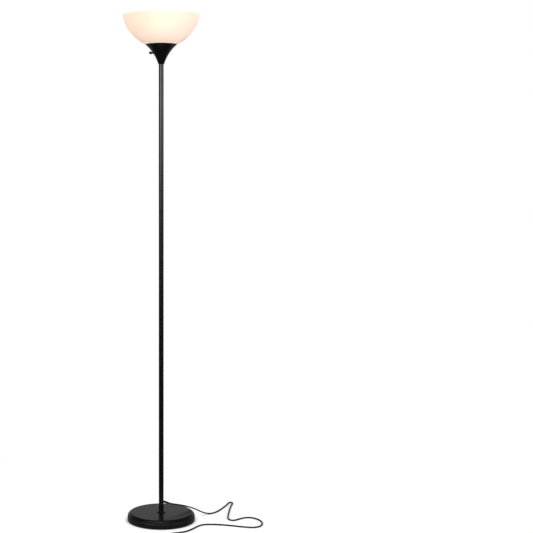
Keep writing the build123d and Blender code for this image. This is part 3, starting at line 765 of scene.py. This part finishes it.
plug_sleeve = make_piece("plug_sleeve", ribbed_sleeve_tree(), {
    "Start": coil_out,
    "End": coil_out + plug_way * SLEEVE_LENGTH,
    "Tip": SLEEVE_TIP,
    "Root": SLEEVE_ROOT,
    "Groove": SLEEVE_GROOVE,
    "Ribs": SLEEVE_RIBS,
}, "lamp", "black_plastic", ("plug_relief",))

make_piece("ring_ribs", grip_ribs, {
    "Radius": RING_RADIUS,
    "Low": RING_LOW + RING_MARGIN_LOW,
    "High": RING_TOP - RING_MARGIN_TOP,
    "Top": RING_RADIUS,
    "Count": RING_RIBS,
    "Bar": RING_RIB_RADIUS,
}, "lamp", "black_plastic")

make_piece("bulb_thread", screw_thread_tree(), {
    "Radius": THREAD_RADIUS,
    "Low": BULB_CAP_LOW + THREAD_MARGIN_LOW,
    "High": BULB_CAP_TOP - THREAD_MARGIN_TOP,
    "Turns": THREAD_TURNS,
    "Crest": THREAD_CREST,
}, "bulb", "cap_metal")

make_piece("bulb_ribs", grip_ribs, {
    "Radius": BULB_NECK,
    "Low": BULB_CAP_TOP + BULB_RIB_MARGIN,
    "High": GLOBE_LOW - BULB_RIB_MARGIN,
    "Top": BULB_SHOULDER,
    "Count": BULB_RIBS,
    "Bar": BULB_RIB_RADIUS,
}, "bulb", "bulb_white")


# Cord on the lamp

cord.data.materials.append(finishes["cord"])
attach(cord, "lamp")
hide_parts("cord_run", "cord_coil")


# Floor, backdrop and lights

# Floor: half its side, how far it is under the lamp, and its tone and added light to the camera
FLOOR_SIDE = 7.0
FLOOR_DROP = 0.0003
FLOOR_TONE = 0.80
FLOOR_LIFT = 0.53

# Reach of the painted contact shadow where something touches the floor, and how far off the floor turns
# white
PAINTED_SHADOW_REACH = 0.014
WHITE_FROM = 0.5
WHITE_TO = 1.1

# Levels behind the lamp in reflections, from the horizon upwards
BEHIND_LEVELS = ((0.0, 0.7), (0.18, 0.7), (0.25, 0.30), (0.305, 0.30), (0.36, 0.04))

# Levels of the wall before the lamp in reflections, from left to right, and its strength
WALL_LEVELS = (
    (0.03, 0.02), (0.12, 0.45), (0.23, 1.0), (0.36, 0.60), (0.5, 0.33), (0.7, 0.34), (1.0, 0.34),
)
WALL_STRENGTH = 12.0

# Levels of the studio round the lamp and to the camera
STUDIO_LEVEL = 0.25
STUDIO_WHITE = 1.0


def floor_finish():
    """Floor that is white to the camera and keeps the lamp's shadow, with a painted contact shadow where
    things touch it, and is duller in reflections.
    """
    finish, tree, surface = empty_material("floor")
    path = tree.nodes.new("ShaderNodeLightPath").outputs
    spot = tree.nodes.new("ShaderNodeTexCoord").outputs["Object"]
    away = place(tree, "ShaderNodeVectorMath", {0: spot}, operation="LENGTH").outputs["Value"]

    def diffuse(colour):
        return place(tree, "ShaderNodeBsdfDiffuse", {"Color": colour}).outputs[0]

    def light(strength):
        values = {"Color": full_colour(1.0), "Strength": strength}
        return place(tree, "ShaderNodeEmission", values).outputs[0]

    def both(first, second):
        return place(tree, "ShaderNodeAddShader", {0: first, 1: second}).outputs[0]

    def either(mask, first, second):
        return place(tree, "ShaderNodeMixShader", {0: mask, 1: first, 2: second}).outputs[0]

    tone = grade(tree, away, 0.28, 0.45, 0.32, 0.06, smooth=True)
    backdrop = grade(tree, part_of(tree, spot, "Y"), 0.4, 1.6, 0.0, 0.2)
    mirrored = both(diffuse(tone), light(backdrop))
    other = either(path["Is Glossy Ray"], diffuse(full_colour(FLOOR_TONE)), mirrored)

    # Painted contact shadow: the floor's colour and added light are darkened where something touches it
    painted_contact_shadow = place(tree, "ShaderNodeAmbientOcclusion", {"Distance": PAINTED_SHADOW_REACH}, samples=16)
    clear = painted_contact_shadow.outputs["AO"]
    near = both(
        diffuse(sums(tree, clear, "MULTIPLY", FLOOR_TONE)),
        light(sums(tree, clear, "MULTIPLY", FLOOR_LIFT)),
    )
    far = grade(tree, away, WHITE_FROM, WHITE_TO, smooth=True)
    seen = either(far, near, light(1.0))
    tree.links.new(either(path["Is Camera Ray"], other, seen), surface)
    return finish


def lay_floor():
    """Square floor under the lamp."""
    mesh = bpy.data.meshes.new("floor")
    corners = [(-1, -1), (1, -1), (1, 1), (-1, 1)]
    mesh.from_pydata([(x * FLOOR_SIDE, y * FLOOR_SIDE, 0.0) for x, y in corners], [], [(0, 1, 2, 3)])
    mesh.materials.append(floor_finish())
    floor = bpy.data.objects.new("floor", mesh)
    floor.location.z = -FLOOR_DROP
    scene.collection.objects.link(floor)


def light_world():
    """White to the camera and pale to the lamp, with white behind and a wall before it in reflections."""
    world = bpy.data.worlds.new("studio")
    scene.world = world
    world.use_nodes = True
    tree = world.node_tree
    tree.nodes.clear()
    end = tree.nodes.new("ShaderNodeOutputWorld")
    path = tree.nodes.new("ShaderNodeLightPath").outputs
    way = tree.nodes.new("ShaderNodeTexCoord").outputs["Generated"]
    across, back, up = [part_of(tree, way, axis) for axis in "XYZ"]

    def either(mask, first, second):
        return place(tree, "ShaderNodeMix", {0: mask, 2: first, 3: second}, data_type="FLOAT").outputs[0]

    behind = grade(tree, back, 0.40, 0.60, 0.05, stepped(tree, up, BEHIND_LEVELS), smooth=True)
    wall = stepped(tree, grade(tree, across, -1.0, 1.0), WALL_LEVELS)
    foot = grade(tree, up, -0.01, 0.06, smooth=True)
    head = grade(tree, up, 0.10, 0.15, WALL_STRENGTH, 0.0)
    front = grade(tree, back, -0.25, 0.05, path["Is Reflection Ray"], 0.0)
    before = chain(tree, "MULTIPLY", wall, foot, head, front)
    mirror = sums(tree, path["Is Glossy Ray"], "MAXIMUM", path["Is Transmission Ray"])
    shine = either(mirror, STUDIO_LEVEL, sums(tree, behind, "MAXIMUM", before))
    level = either(path["Is Camera Ray"], shine, STUDIO_WHITE)
    sky = place(tree, "ShaderNodeBackground", {"Color": level, "Strength": 1.0})
    tree.links.new(sky.outputs["Background"], end.inputs["Surface"])


def hang_light(name, where, towards, size, watts, gloss=False, fill=True):
    """Soft rectangular studio light. With gloss it shows in reflections, with fill it lights surfaces."""
    data = bpy.data.lights.new(name, "AREA")
    data.shape = "RECTANGLE"
    data.size, data.size_y = size
    data.energy = watts
    light = bpy.data.objects.new(name, data)
    light.location = where
    light.rotation_euler = (Vector(towards) - Vector(where)).to_track_quat("-Z", "Y").to_euler()
    light.visible_glossy = gloss
    light.visible_diffuse = fill
    light.visible_transmission = fill
    scene.collection.objects.link(light)


lay_floor()
light_world()
hang_light("left_softbox", (-1.55, -2.15, 2.35), (0.0, 0.0, 1.3), size=(0.4, 1.5), watts=8.0)
hang_light("right_softbox", (1.6, -1.9, 2.6), (0.0, 0.0, 1.2), size=(1.8, 1.6), watts=14.0)
hang_light("top_softbox", (0.0, 0.2, 3.4), (0.0, 0.0, 0.0), size=(2.0, 2.0), watts=24.0)
hang_light("right_fill", (1.7, -0.9, 0.4), (0.0, 0.0, 1.7), size=(1.0, 1.0), watts=8.5)
hang_light("front_fill", (-0.3, -3.6, 1.9), (0.0, 0.0, 1.6), size=(1.2, 1.2), watts=47.0)
hang_light(
    "high_card", (-0.3, -0.8, 2.5), (0.0, 0.0, 0.0), size=(2.0, 0.5), watts=10.0, gloss=True, fill=False,
)

scene.view_settings.view_transform = "Standard"
